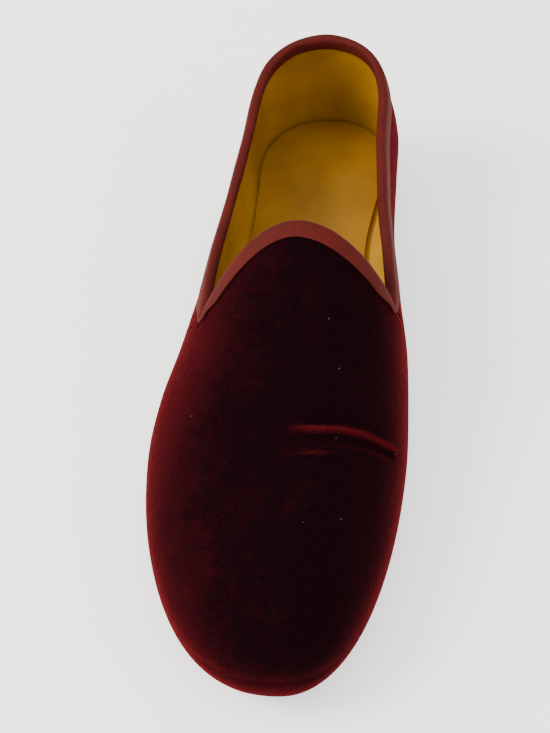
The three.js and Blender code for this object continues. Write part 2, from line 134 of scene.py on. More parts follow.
def velvet_material():
    """Silk velvet: a cut pile, 1.5 mm deep, woven upright and then brushed by hands and feet.

    Nearly black wine on top. Redder on the sides, a painted sheen for the pile's shine at grazing
    angles, with painted light on the outer side and painted shade on the inner side.
    the nap was stroked another way, with a few grains of dust and sunken seams. The pile is drawn
    0.6 mm coarse, because its threads, a tenth of that, are too fine to show.
    """
    material, tree, shader, at = new_material("velvet")

    # How red the pile is: painted sheen, light and shade, random mottle and worn nap
    surface = add_node(tree, "NewGeometry")
    facing = add_node(tree, "SeparateXYZ", {"Vector": surface.outputs["Normal"]})
    stroked = add_node(tree, "TexNoise", {
        "Vector": at, "Scale": 38, "Detail": 4, "Roughness": 0.62,
    })
    brushed = add_node(tree, "TexNoise", {
        "Vector": at, "Scale": 210, "Detail": 5, "Roughness": 0.7,
    })
    pile = add_node(tree, "TexNoise", {
        "Vector": at, "Scale": 1500, "Detail": 2, "Roughness": 0.7,
    })
    # Painted sheen: redder where the surface turns sideways, as velvet shines at grazing angles
    painted_side_sheen = add_node(tree, "MapRange", {
        "Value": facing.outputs["Z"], "From Min": 0.88, "From Max": 0.1,
        "To Min": 0, "To Max": 0.34,
    })
    # Painted light on the outer side and painted shade on the inner side
    painted_light_outer_side = add_node(tree, "MapRange", {
        "Value": facing.outputs["X"], "From Min": -0.05, "From Max": -0.8,
        "To Min": 0, "To Max": 0.12,
    })
    painted_shade_inner_side = add_node(tree, "MapRange", {
        "Value": facing.outputs["X"], "From Min": 0.15, "From Max": 0.8,
        "To Min": 0, "To Max": -0.2,
    })
    painted_side_light_and_shade = add_node(tree, "Math", {
        0: painted_light_outer_side.outputs["Result"], 1: painted_shade_inner_side.outputs["Result"],
    }, operation="ADD")
    painted_sheen_and_side_light = add_node(tree, "Math", {
        0: painted_side_sheen.outputs["Result"], 1: painted_side_light_and_shade.outputs["Value"],
    }, operation="ADD")
    patch = add_node(tree, "MapRange", {
        "Value": stroked.outputs["Fac"], "From Min": 0.33, "From Max": 0.7,
        "To Min": -0.05, "To Max": 0.05,
    })
    brush = add_node(tree, "MapRange", {
        "Value": brushed.outputs["Fac"], "From Min": 0.3, "From Max": 0.72,
        "To Min": -0.05, "To Max": 0.06,
    })
    nap_lie = add_node(tree, "Math", {
        0: patch.outputs["Result"], 1: brush.outputs["Result"],
    }, operation="ADD")
    painted_light_and_mottle = add_node(tree, "Math", {
        0: painted_sheen_and_side_light.outputs["Value"], 1: nap_lie.outputs["Value"],
    }, operation="ADD")
    # Folds and streaks: worn nap with painted highlight, painted shade in troughs, painted sheen
    retoned = add_node(tree, "Attribute", attribute_name="retoned")
    tone_with_painted_light = add_node(tree, "Math", {
        0: painted_light_and_mottle.outputs["Value"], 1: retoned.outputs["Fac"],
    }, operation="ADD", use_clamp=True)

    # The cloth's colour, its fibres and grains of dust 0.8 mm across
    cloth = add_node(tree, "Mix", {
        0: tone_with_painted_light.outputs["Value"], 6: srgb("#120409"), 7: srgb("#5c1116"),
    }, data_type="RGBA")
    threads = add_node(tree, "MapRange", {
        "Value": pile.outputs["Fac"], "From Min": 0.3, "From Max": 0.7,
    })
    fibres = add_node(tree, "Mix", {
        0: threads.outputs["Result"], 6: srgb("#a0a0a0"), 7: srgb("#ffffff"),
    }, data_type="RGBA")
    fibrous = add_node(tree, "Mix", {
        0: 1.0, 6: cloth.outputs[2], 7: fibres.outputs[2],
    }, data_type="RGBA", blend_type="MULTIPLY")
    cells = add_node(tree, "TexVoronoi", {"Vector": at, "Scale": 230, "Randomness": 1.0})
    grain = add_node(tree, "MapRange", {
        "Value": cells.outputs["Distance"], "From Min": 0.07, "From Max": 0.1,
        "To Min": 1, "To Max": 0,
    })
    kept = add_node(tree, "Math", {0: cells.outputs["Color"], 1: 0.84}, operation="GREATER_THAN")
    dust = add_node(tree, "Math", {
        0: grain.outputs["Result"], 1: kept.outputs["Value"],
    }, operation="MULTIPLY")
    dusty = add_node(tree, "Mix", {
        0: dust.outputs["Value"], 6: fibrous.outputs[2], 7: srgb("#4a2a2c"),
    }, data_type="RGBA")

    # Its relief: the pile, the swell of the nap, and the seams, sunken a millimetre
    nap = add_node(tree, "Bump", {
        "Height": pile.outputs["Fac"], "Distance": 0.3 * MM, "Strength": 0.6,
    })
    swell = add_node(tree, "Bump", {
        "Height": brushed.outputs["Fac"], "Distance": 0.9 * MM, "Strength": 0.5,
        "Normal": nap.outputs["Normal"],
    })
    seam = add_node(tree, "Attribute", attribute_name="seam")
    off_seam = add_node(tree, "Math", {0: seam.outputs["Fac"]}, operation="ABSOLUTE")
    sewn_here = add_node(tree, "Attribute", attribute_name="sewn")
    bank = add_node(tree, "MapRange", {
        "Value": off_seam.outputs["Value"], "From Min": 0.1 * MM, "From Max": 1.3 * MM,
    }, interpolation_type="SMOOTHSTEP")
    unsewn = add_node(tree, "Math", {0: 1.0, 1: sewn_here.outputs["Fac"]}, operation="SUBTRACT")
    level = add_node(tree, "Math", {
        0: bank.outputs["Result"], 1: unsewn.outputs["Value"],
    }, operation="MAXIMUM")
    sewn = add_node(tree, "Bump", {
        "Height": level.outputs["Value"], "Distance": 1.0 * MM, "Strength": 0.9,
        "Normal": swell.outputs["Normal"],
    })
    seamed = add_node(tree, "Mix", {
        0: level.outputs["Value"], 6: srgb("#0e0304"), 7: dusty.outputs[2],
    }, data_type="RGBA")
    set_inputs(tree, shader, {
        "Base Color": seamed.outputs[2], "Roughness": 1.0, "Specular IOR Level": 0.02,
        "Sheen Weight": 0.5, "Sheen Roughness": 0.36, "Sheen Tint": srgb("#b81c24"),
        "Normal": sewn.outputs["Normal"],
    })
    return material


def ribbon_material():
    """Grosgrain: rayon ribbon, woven with thick weft cords that stand as ribs across its width.

    Dusty red and matt, with a cord every 1.15 mm: the real ones, half as wide, would not show.
    """
    material, tree, shader, at = new_material("grosgrain")
    run = add_node(tree, "UVMap", uv_map="ribbon")
    cords = add_node(tree, "SeparateXYZ", {"Vector": run.outputs["UV"]})
    turns = add_node(tree, "Math", {0: cords.outputs["X"], 1: 2 * math.pi}, operation="MULTIPLY")
    wave = add_node(tree, "Math", {0: turns.outputs["Value"]}, operation="SINE")
    cord = add_node(tree, "MapRange", {
        "Value": wave.outputs["Value"], "From Min": -1, "From Max": 1,
    })
    fade = add_node(tree, "TexNoise", {"Vector": at, "Scale": 90, "Detail": 3, "Roughness": 0.6})
    fibre = add_node(tree, "TexNoise", {"Vector": at, "Scale": 1600, "Detail": 2})
    ground = add_node(tree, "Mix", {
        0: fade.outputs["Fac"], 6: srgb("#400c06"), 7: srgb("#5d140d"),
    }, data_type="RGBA")
    ribs = add_node(tree, "Mix", {
        0: cord.outputs["Result"], 6: srgb("#c6c6c6"), 7: srgb("#ffffff"),
    }, data_type="RGBA")
    ribbed = add_node(tree, "Mix", {
        0: 1.0, 6: ground.outputs[2], 7: ribs.outputs[2],
    }, data_type="RGBA", blend_type="MULTIPLY")
    height = add_node(tree, "Bump", {
        "Height": cord.outputs["Result"], "Distance": 0.12 * MM, "Strength": 0.7,
    })
    threads = add_node(tree, "Bump", {
        "Height": fibre.outputs["Fac"], "Distance": 0.1 * MM, "Strength": 0.5,
        "Normal": height.outputs["Normal"],
    })
    set_inputs(tree, shader, {
        "Base Color": ribbed.outputs[2], "Roughness": 0.8, "Specular IOR Level": 0.15,
        "Sheen Weight": 0.08, "Sheen Roughness": 0.4, "Sheen Tint": srgb("#c05040"),
        "Normal": threads.outputs["Normal"],
    })
    return material


def lining_material(name, light, dark):
    """Lining calf: smooth aniline-dyed leather, glazed by a roller and polished by socks.

    Mustard yellow, softly shiny, clouded where the dye took unevenly, with fine 0.8 mm pores.
    """
    material, tree, shader, at = new_material(name)
    cloud = add_node(tree, "TexNoise", {"Vector": at, "Scale": 28, "Detail": 4, "Roughness": 0.55})
    pores = add_node(tree, "TexVoronoi", {"Vector": at, "Scale": 1250})
    wrinkle = add_node(tree, "TexNoise", {
        "Vector": at, "Scale": 170, "Detail": 5, "Roughness": 0.6,
    })
    dye = add_node(tree, "MapRange", {
        "Value": cloud.outputs["Fac"], "From Min": 0.3, "From Max": 0.7,
    })
    skin = add_node(tree, "Mix", {
        0: dye.outputs["Result"], 6: srgb(dark), 7: srgb(light),
    }, data_type="RGBA")
    grain = add_node(tree, "Bump", {
        "Height": pores.outputs["Distance"], "Distance": 0.06 * MM, "Strength": 0.5,
    })
    creased = add_node(tree, "Bump", {
        "Height": wrinkle.outputs["Fac"], "Distance": 0.5 * MM, "Strength": 0.35,
        "Normal": grain.outputs["Normal"],
    })
    gloss = add_node(tree, "MapRange", {
        "Value": wrinkle.outputs["Fac"], "To Min": 0.48, "To Max": 0.66,
    })
    set_inputs(tree, shader, {
        "Base Color": skin.outputs[2], "Roughness": gloss.outputs["Result"],
        "Specular IOR Level": 0.22, "Normal": creased.outputs["Normal"],
    })
    return material


def sole_material():
    """Sole leather: thick vegetable-tanned cowhide, cut, trimmed, inked and burnished with hot wax.

    Nearly black brown, with a dull shine and faint 2 mm scuffs below.
    """
    material, tree, shader, at = new_material("sole_leather")
    cloud = add_node(tree, "TexNoise", {"Vector": at, "Scale": 60, "Detail": 5, "Roughness": 0.6})
    scuff = add_node(tree, "TexNoise", {
        "Vector": at, "Scale": 420, "Detail": 6, "Roughness": 0.7, "Distortion": 0.6,
    })
    wear = add_node(tree, "MapRange", {
        "Value": scuff.outputs["Fac"], "From Min": 0.5, "From Max": 0.75,
    })
    ink = add_node(tree, "Mix", {
        0: cloud.outputs["Fac"], 6: srgb("#0f0a08"), 7: srgb("#1f1510"),
    }, data_type="RGBA")
    retoned = add_node(tree, "Mix", {
        0: wear.outputs["Result"], 6: ink.outputs[2], 7: srgb("#2e2019"),
    }, data_type="RGBA")
    hide = add_node(tree, "Bump", {
        "Height": scuff.outputs["Fac"], "Distance": 0.12 * MM, "Strength": 0.6,
    })
    gloss = add_node(tree, "MapRange", {
        "Value": scuff.outputs["Fac"], "To Min": 0.4, "To Max": 0.68,
    })
    set_inputs(tree, shader, {
        "Base Color": retoned.outputs[2], "Roughness": gloss.outputs["Result"],
        "Specular IOR Level": 0.2, "Normal": hide.outputs["Normal"],
    })
    return material


LIFT = 3.3 * MM
TREAD = 5 * MM


def heel_material():
    """Stacked heel: leather lifts glued, sanded and inked, on a moulded rubber tread.

    Nearly black. The lifts show as fine level lines, and the tread below them is matt.
    """
    material, tree, shader, at = new_material("heel_stack")
    level = add_node(tree, "SeparateXYZ", {"Vector": at})
    fibre = add_node(tree, "Mapping", {"Vector": at, "Scale": (1, 1, 9)})
    layers = add_node(tree, "TexNoise", {
        "Vector": fibre.outputs["Vector"], "Scale": 170, "Detail": 4, "Roughness": 0.65,
    })
    tread = add_node(tree, "Math", {0: level.outputs["Z"], 1: TREAD}, operation="LESS_THAN")
    lifts = add_node(tree, "Math", {0: level.outputs["Z"], 1: LIFT}, operation="DIVIDE")
    in_lift = add_node(tree, "Math", {0: lifts.outputs["Value"]}, operation="FRACT")
    above_joint = add_node(tree, "MapRange", {
        "Value": in_lift.outputs["Value"], "From Min": 0.5, "From Max": 0.62,
    }, interpolation_type="SMOOTHSTEP")
    below_joint = add_node(tree, "MapRange", {
        "Value": in_lift.outputs["Value"], "From Min": 0.5, "From Max": 0.38,
    }, interpolation_type="SMOOTHSTEP")
    off_joint = add_node(tree, "Math", {
        0: above_joint.outputs["Result"], 1: below_joint.outputs["Result"],
    }, operation="MAXIMUM")
    stack = add_node(tree, "Mix", {
        0: layers.outputs["Fac"], 6: srgb("#0c0806"), 7: srgb("#231811"),
    }, data_type="RGBA")
    lift = add_node(tree, "Mix", {
        0: off_joint.outputs["Value"], 6: srgb("#040302"), 7: stack.outputs[2],
    }, data_type="RGBA")
    colour = add_node(tree, "Mix", {
        0: tread.outputs["Value"], 6: lift.outputs[2], 7: srgb("#0b0b0b"),
    }, data_type="RGBA")
    gloss = add_node(tree, "MapRange", {
        "Value": tread.outputs["Value"], "To Min": 0.42, "To Max": 0.8,
    })
    relief = add_node(tree, "Bump", {
        "Height": layers.outputs["Fac"], "Distance": 0.15 * MM, "Strength": 0.6,
    })
    set_inputs(tree, shader, {
        "Base Color": colour.outputs[2], "Roughness": gloss.outputs["Result"],
        "Specular IOR Level": 0.2, "Normal": relief.outputs["Normal"],
    })
    return material


def floor_material():
    """Studio paper: matt, nearly white, with a faint tooth."""
    material, tree, shader, at = new_material("studio_paper")
    tooth = add_node(tree, "TexNoise", {"Vector": at, "Scale": 900, "Detail": 2})
    relief = add_node(tree, "Bump", {
        "Height": tooth.outputs["Fac"], "Distance": 0.05 * MM, "Strength": 0.3,
    })
    set_inputs(tree, shader, {
        "Base Color": srgb("#f4f3f1"), "Roughness": 0.95, "Specular IOR Level": 0.1,
        "Emission Color": srgb("#ffffff"), "Emission Strength": 0.9,
        "Normal": relief.outputs["Normal"],
    })
    return material


# Shaping

def only(piece):
    """Selects one piece alone and makes it the one that operators work on."""
    bpy.ops.object.select_all(action="DESELECT")
    piece.select_set(True)
    bpy.context.view_layer.objects.active = piece


def copy_of(node, name):
    """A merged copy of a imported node, with its triangles joined to quads again."""
    piece = bpy.data.objects.new(name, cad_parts[node].data.copy())
    bpy.context.scene.collection.objects.link(piece)
    piece.data.name = name
    piece.data.materials.clear()
    only(piece)
    bpy.ops.object.mode_set(mode="EDIT")
    bpy.ops.mesh.select_all(action="SELECT")
    bpy.ops.mesh.remove_doubles(threshold=MERGE)
    bpy.ops.mesh.customdata_custom_splitnormals_clear()
    bpy.ops.mesh.tris_convert_to_quads(face_threshold=math.pi, shape_threshold=math.pi)
    bpy.ops.object.mode_set(mode="OBJECT")
    return piece


def finish_piece(piece, nodes, materials):
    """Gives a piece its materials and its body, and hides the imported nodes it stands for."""
    for material in materials:
        piece.data.materials.append(material)
    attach(piece, "root")
    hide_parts(*nodes)


# An edge that turns by more than this is a cut edge of the wall.

SHARP = math.radians(72)


def edge_turns(mesh):
    """How far the surface turns at each edge, in radians, and the faces on each edge."""
    faces_at = {}
    for face in mesh.polygons:
        for key in face.edge_keys:
            faces_at.setdefault(key, []).append(face.index)
    normals = [face.normal.copy() for face in mesh.polygons]
    turns = {
        key: normals[pair[0]].angle(normals[pair[1]], 0) if len(pair) == 2 else math.pi
        for key, pair in faces_at.items()
    }
    return turns, faces_at


def outer_skin(mesh, turns, faces_at):
    """The upper's outside: the faces reached from the toe without crossing a sharp edge."""
    toe = min(mesh.polygons, key=lambda face: face.center.y)
    found = {toe.index}
    waiting = [toe.index]
    while waiting:
        face = mesh.polygons[waiting.pop()]
        for key in face.edge_keys:
            if turns[key] > SHARP:
                continue
            for other in faces_at[key]:
                if other not in found:
                    found.add(other)
                    waiting.append(other)
    return found


FITTING_ROUNDS = 3


def subdivide_through(piece, levels):
    """Subdivides a piece so that its smooth surface still passes through the cage's own points."""
    cage = [v.co.copy() for v in piece.data.vertices]
    modifier = piece.modifiers.new("smooth", "SUBSURF")
    modifier.levels = levels
    modifier.render_levels = levels
    for _ in range(FITTING_ROUNDS):
        piece.data.update()
        evaluated = piece.evaluated_get(bpy.context.evaluated_depsgraph_get())
        reached = evaluated.to_mesh()
        for v, goal in zip(piece.data.vertices, cage):
            v.co += goal - reached.vertices[v.index].co
        evaluated.to_mesh_clear()
    only(piece)
    bpy.ops.object.modifier_apply(modifier=modifier.name)


def path_distance(points, path):
    """How far each point is from a path, how far along the path it lies, and the path's length."""
    points = np.asarray(points)
    corners = np.array([list(p) for p in path])
    best = np.full(len(points), np.inf)
    along = np.zeros(len(points))
    done = 0.0
    for a, b in zip(corners[:-1], corners[1:]):
        step = b - a
        length = np.linalg.norm(step)
        share = np.clip((points - a) @ step / length ** 2, 0, 1)
        gap = np.linalg.norm(points - (a + share[:, None] * step), axis=1)
        nearer = gap < best
        best[nearer] = gap[nearer]
        along[nearer] = done + share[nearer] * length
        done += length
    return best, along, done


# Upper. Ridges and troughs: five where the vamp bends with the foot, a shallow groove round the
# toe, and a pucker under the outer notch. Each has its height and half width in mm, how far it
# tones the pile, and its path in mm. The tone lightens ridges for worn nap with painted highlight,
# and darkens troughs, the groove and the pucker with painted shade. It rises over FOLD_START and
# dies away over FOLD_END, and the mesh is refined within FOLD_REACH mm of it.

FOLDS = [
    {"rise": 1.3, "half": 1.0, "wear_and_painted_light": 0.75, "path": [
        (7.5, 89.2, 56.1), (13.5, 89.4, 55.9), (19.5, 90.0, 55.1), (26.7, 91.4, 53.3),
        (31.7, 92.1, 51.1), (36.7, 92.8, 48.0), (41.1, 93.0, 44.2), (44.5, 93.7, 40.3),
        (48.5, 94.8, 34.0)]},
    {"rise": -1.4, "half": 2.3, "wear_and_painted_light": -0.22, "path": [
        (10.8, 85.4, 55.2), (17.8, 85.7, 54.5), (27.0, 87.1, 52.2), (33.9, 88.5, 48.9),
        (39.5, 89.4, 44.9), (44.3, 90.6, 39.9), (47.5, 91.5, 34.5)]},
    {"rise": -0.5, "half": 1.2, "wear_and_painted_light": -0.1, "path": [
        (10, 92.0, 56.6), (19.5, 92.8, 55.7), (29, 94.6, 53.0), (36.7, 95.8, 48.6),
        (42, 96.2, 44.0)]},
    {"rise": 0.6, "half": 0.6, "wear_and_painted_light": 0.5, "path": [
        (8.2, 79.5, 53.9), (15.8, 80.5, 53.6), (22.3, 81.4, 52.4), (27, 82.6, 51.0)]},
    {"rise": -0.5, "half": 1.8, "wear_and_painted_light": -0.1, "path": [
        (9.0, 76.9, 53.2), (20.7, 77.9, 52.1), (32.0, 81.6, 48.5), (41.2, 85.4, 42.4)]},
    {"rise": -0.3, "half": 1.9, "wear_and_painted_light": -0.05, "path": [
        (-22.2, 13.7, 23.1), (-11.7, 6.0, 25.1), (-0.3, 2.2, 26.4), (11.5, 1.8, 26.5),
        (22.4, 5.5, 25.0), (31.6, 14.0, 21.2)]},
    {"rise": -0.9, "half": 1.3, "wear_and_painted_light": -0.3, "path": [(-34.0, 139.6, 50.4), (-32.0, 137.9, 52.4)]},
]
FOLD_REACH = 3.2
FOLD_START = 10 * MM
FOLD_END = 6 * MM

# Soft redder streaks on the outer side: painted sheen where the light from the left falls.

SHEEN_STREAKS = [
    {"half": 11, "wear_and_painted_light": 0.13, "path": [(-29.0, 126.0, 55.0), (-33.0, 112.0, 49.0)]},
    {"half": 9, "wear_and_painted_light": 0.08, "path": [(-36.0, 99.0, 42.0), (-37.0, 84.0, 38.0)]},
    {"half": 4, "wear_and_painted_light": 0.07, "path": [(-22.0, 52.0, 43.0), (-14.0, 36.0, 41.0)]},
]


def close_to(piece, paths, reach):
    """The faces of a piece whose middles lie within reach of any of some paths."""
    middles = [list(face.center) for face in piece.data.polygons]
    gaps = np.min([path_distance(middles, path)[0] for path in paths], axis=0)
    return [i for i, gap in enumerate(gaps) if gap < reach]


def refine(piece, faces, cuts):
    """Cuts some faces of a piece into smaller ones, so that small forms can be shaped there."""
    mesh = piece.data
    only(piece)
    bpy.ops.object.mode_set(mode="EDIT")
    bpy.ops.mesh.select_all(action="DESELECT")
    bpy.ops.object.mode_set(mode="OBJECT")
    for i in faces:
        mesh.polygons[i].select = True
    bpy.ops.object.mode_set(mode="EDIT")
    bpy.ops.mesh.select_mode(type="FACE")
    bpy.ops.mesh.subdivide(number_cuts=cuts, smoothness=0.6)
    bpy.ops.object.mode_set(mode="OBJECT")


# The cloth's slight unevenness: its height, its waves per metre, and where it fades out low down.

UNEVEN = 0.5 * MM
UNEVEN_SCALE = 42
EVEN_BELOW = 22 * MM
UNEVEN_ABOVE = 34 * MM


def raise_folds(piece):
    """Moves the velvet out and in along its normals, by the folds and by a slight unevenness."""
    mesh = piece.data
    skin = {v for face in mesh.polygons if face.material_index == 0 for v in face.vertices}
    ids = sorted(skin)
    points = np.array([list(mesh.vertices[i].co) for i in ids])
    lift = np.zeros(len(ids))
    wear_and_painted_light = np.zeros(len(ids))
    for fold in FOLDS:
        gap, along, length = path_distance(points, [place(*point) for point in fold["path"]])
        ends = np.clip(np.minimum(along / FOLD_START, (length - along) / FOLD_END), 0, 1) ** 0.7
        half = fold["half"] * MM * (0.5 + 0.5 * ends)
        across = ends * np.exp(-(gap / half) ** 2)
        lift += fold["rise"] * MM * across
        wear_and_painted_light += fold["wear_and_painted_light"] * across
    for patch in SHEEN_STREAKS:
        gap, _, _ = path_distance(points, [place(*point) for point in patch["path"]])
        wear_and_painted_light += patch["wear_and_painted_light"] * np.exp(-(gap / (patch["half"] * MM)) ** 2)
    # Worn nap and painted highlight on ridges, painted shade in hollows, painted sheen on streaks
    retoned = mesh.attributes.new("retoned", "FLOAT", "POINT")
    for i, value in zip(ids, wear_and_painted_light):
        retoned.data[i].value = value
    normals = [mesh.vertices[i].normal.copy() for i in ids]
    for i, shift, normal in zip(ids, lift, normals):
        vertex = mesh.vertices[i]
        crown = max(0.0, min(1.0, (vertex.co.z - EVEN_BELOW) / (UNEVEN_ABOVE - EVEN_BELOW)))
        uneven = UNEVEN * crown * noise.noise(vertex.co * UNEVEN_SCALE)
        vertex.co += normal * (shift + uneven)


def mark_seams(mesh):
    """Writes how far each point lies from the nearest seam's line, and where that seam is sewn."""
    seam = mesh.attributes.new("seam", "FLOAT", "POINT")
    sewn = mesh.attributes.new("sewn", "FLOAT", "POINT")
    for v in mesh.vertices:
        x, y, z = v.co
        notch = MEDIAL_NOTCH if x > 0 else LATERAL_NOTCH
        at_back = y > BACK_SEAM_FROM_Y
        off_side_seam = y - notch.y - SEAM_LEAN * (notch.z - z)
        seam.data[v.index].value = x - BACK_SEAM_X if at_back else off_side_seam
        sewn.data[v.index].value = 1.0 if at_back or z < notch.z else 0.0


def upper_piece(velvet, lining):
    """The upper: its wall smoothed, velvet outside, calf inside, with its folds and seams."""
    piece = copy_of("upper", "velvet_upper")
    mesh = piece.data
    turns, faces_at = edge_turns(mesh)
    outside = outer_skin(mesh, turns, faces_at)
    crease = mesh.attributes.new("crease_edge", "FLOAT", "EDGE")
    for edge in mesh.edges:
        if turns[tuple(sorted(edge.vertices))] > SHARP:
            crease.data[edge.index].value = 1.0
    for face in mesh.polygons:
        face.material_index = 0 if face.index in outside else 1
    subdivide_through(piece, 2)
    folds = [[place(*point) for point in fold["path"]] for fold in FOLDS]
    for reach in (FOLD_REACH * 2, FOLD_REACH):
        close = close_to(piece, folds, reach * MM)
        refine(piece, [i for i in close if mesh.polygons[i].material_index == 0], 1)
    raise_folds(piece)
    mark_seams(mesh)
    only(piece)
    bpy.ops.object.shade_smooth_by_angle(angle=math.radians(60))
    finish_piece(piece, ["upper"], [velvet, lining])
    return piece


# Stiff pieces: how far their edges are rounded, and the sole's stitch channel, cut in from below.

EDGE_ROUNDING = {"sock": 0.5 * MM, "sole": 0.3 * MM, "heel_stack": 0.4 * MM}
CHANNEL_INSET = 4 * MM
CHANNEL_DEPTH = 0.45 * MM
CHANNEL_EDGE = 0.5 * MM
CHANNEL_FLAP = 0.7 * MM


def cut_channel(piece):
    """Cuts the closed channel underneath that hides the stitches through the sole."""
    only(piece)
    bpy.ops.object.mode_set(mode="EDIT")
    bpy.ops.mesh.select_all(action="DESELECT")
    bpy.ops.object.mode_set(mode="OBJECT")
    for face in piece.data.polygons:
        face.select = face.normal.z < -0.8
    bpy.ops.object.mode_set(mode="EDIT")
    bpy.ops.mesh.select_mode(type="FACE")
    bpy.ops.mesh.inset(thickness=CHANNEL_INSET)
    bpy.ops.mesh.inset(thickness=CHANNEL_EDGE, depth=-CHANNEL_DEPTH)
    bpy.ops.mesh.inset(thickness=CHANNEL_FLAP, depth=CHANNEL_DEPTH)
    bpy.ops.object.mode_set(mode="OBJECT")


def round_edges(piece):
    """Rounds a stiff piece's cut edges, as sandpaper and wax do, and smooths its walls."""
    modifier = piece.modifiers.new("worn_edges", "BEVEL")
    modifier.width = EDGE_ROUNDING[piece.name]
    modifier.segments = 3
    modifier.limit_method = "ANGLE"
    modifier.angle_limit = math.radians(38)
    only(piece)
    bpy.ops.object.modifier_apply(modifier=modifier.name)
    bpy.ops.object.shade_smooth_by_angle(angle=math.radians(30))


def stiff_pieces(sock_calf):
    """The sock, the sole and the heel, whose shapes come from the CAD as they are."""
    sock = copy_of("insole", "sock")
    round_edges(sock)
    finish_piece(sock, ["insole"], [sock_calf])
    sole = copy_of("outsole", "sole")
    cut_channel(sole)
    round_edges(sole)
    finish_piece(sole, ["outsole"], [sole_material()])
    heel = copy_of("heel", "heel_stack")
    round_edges(heel)
    finish_piece(heel, ["heel"], [heel_material()])


# Binding: one ribbon folded over the whole edge, gathered to a narrow round turn at each notch.
# Its middle line has points down the outside (share of its width, mm off the velvet), over the
# wall's top (mm down, mm out) and down the inside (share of its width).

WALL = 2.2 * MM
RIBBON = 0.8 * MM
OFF_CLOTH = 0.8 * MM
WIDE_OUTSIDE, NARROW_OUTSIDE = 6.0 * MM, 2.6 * MM
WIDE_INSIDE, NARROW_INSIDE = 5.0 * MM, 1.8 * MM
GATHER = 10 * MM
STATION = 1.4 * MM
TURN_STATIONS = 9
TURN_LENGTH = 3 * MM
TIGHTEST = 0.16
TOUCHING = 0.45 * MM
FULL_ROOM = 1.4 * MM
LOWEST_EDGE = 30 * MM
DOWN_OUTSIDE = [(1, 0.6), (0.93, 0.72), (0.6, 0.8), (0.3, 0.8), (0.04, 0.8)]
OVER_EDGE = [(-0.6, 0.4), (-0.93, -0.4), (-1.0, -1.1), (-0.93, -1.8), (-0.6, -2.6)]
DOWN_INSIDE = [0.06, 0.5, 0.93, 1]
CORD_PITCH = 1.15 * MM


def bound_edge():
    """The upper's edge as two runs of points, one round the collar and one round the tongue."""
    piece = copy_of("upper", "edge_finder")
    mesh = piece.data
    turns, faces_at = edge_turns(mesh)
    outside = outer_skin(mesh, turns, faces_at)
    next_to = {}
    for (a, b), pair in faces_at.items():
        between_skins = len(pair) == 2 and (pair[0] in outside) != (pair[1] in outside)
        height = min(mesh.vertices[a].co.z, mesh.vertices[b].co.z)
        if between_skins and turns[(a, b)] > SHARP and height > LOWEST_EDGE:
            next_to.setdefault(a, []).append(b)
            next_to.setdefault(b, []).append(a)
    ring = [min(next_to, key=lambda i: (mesh.vertices[i].co - TONGUE_TIP).length)]
    while len(ring) < len(next_to):
        ring.append(next(i for i in next_to[ring[-1]] if i not in ring[-2:]))
    points = [mesh.vertices[i].co.copy() for i in ring]
    bpy.data.objects.remove(piece)
    first, second = sorted(
        min(range(len(points)), key=lambda k: (points[k] - notch).length)
        for notch in (LATERAL_NOTCH, MEDIAL_NOTCH)
    )
    return points[first:second + 1], points[second:] + points[:first + 1]


def resampled(points, step):
    """A smooth path through some points, with a station about every step."""
    path = []
    for i in range(len(points) - 1):
        a, b = points[i], points[i + 1]
        before = points[i - 1] if i else a * 2 - b
        after = points[i + 2] if i + 2 < len(points) else b * 2 - a
        count = max(1, round((b - a).length / step))
        for k in range(count):
            t = k / count
            path.append(0.5 * (
                2 * a + (b - before) * t + (2 * before - 5 * a + 4 * b - after) * t ** 2
                + (3 * a - before - 3 * b + after) * t ** 3
            ))
    return [*path, points[-1]]


def skin_tree(piece, material_index):
    """A search tree of a piece's faces of one material, to lay cloth on."""
    mesh = piece.data
    faces = [
        tuple(face.vertices) for face in mesh.polygons if face.material_index == material_index
    ]
    return BVHTree.FromPolygons([v.co for v in mesh.vertices], faces)


def eased(share):
    """A share from 0 to 1 that starts and ends gently."""
    share = max(0.0, min(1.0, share))
    return share * share * (3 - 2 * share)


def run_stations(path, other, velvet_skin):
    """The stations of one run: place, normal, way down, distance, gather and squeeze.

    Gather goes from 0 at a notch, where the ribbon is narrow, to 1 where it is wide. Squeeze
    flattens its fold where the other run is near: half the gap goes from TOUCHING to FULL_ROOM.
    """
    normals = [velvet_skin.find_nearest(point)[1] for point in path]
    done = [0.0]
    for a, b in zip(path[:-1], path[1:]):
        done.append(done[-1] + (b - a).length)
    half_gaps = path_distance([list(point) for point in path], other)[0] / 2
    stations = []
    for i, point in enumerate(path):
        near = normals[max(0, i - 2):i + 3]
        normal = sum(near, Vector()).normalized()
        along = (path[min(i + 1, len(path) - 1)] - path[max(i - 1, 0)]).normalized()
        down = along.cross(normal).normalized()
        stations.append({
            "point": point, "normal": normal, "down": down, "along": done[i],
            "gather": eased(min(done[i], done[-1] - done[i]) / GATHER),
            "squeeze": max(TIGHTEST, min(1.0, (half_gaps[i] - TOUCHING) / (FULL_ROOM - TOUCHING))),
        })
    return stations


def turn_stations(last, first):
    """Stations that carry the ribbon round a notch, from one run's end to the next run's start."""
    normal = (last["normal"] + first["normal"]).normalized()
    into_cloth = (last["down"] + first["down"]).normalized()
    stations = []
    for k in range(1, TURN_STATIONS):
        share = k / TURN_STATIONS
        start, end = (last["down"], into_cloth) if share < 0.5 else (into_cloth, first["down"])
        down = start.slerp(end, share * 2 if share < 0.5 else share * 2 - 1)
        down = (down - normal * down.dot(normal)).normalized()
        stations.append({
            "point": last["point"], "normal": normal, "down": down,
            "along": last["along"] + share * TURN_LENGTH, "gather": 0.0, "squeeze": TIGHTEST,
        })
    return stations


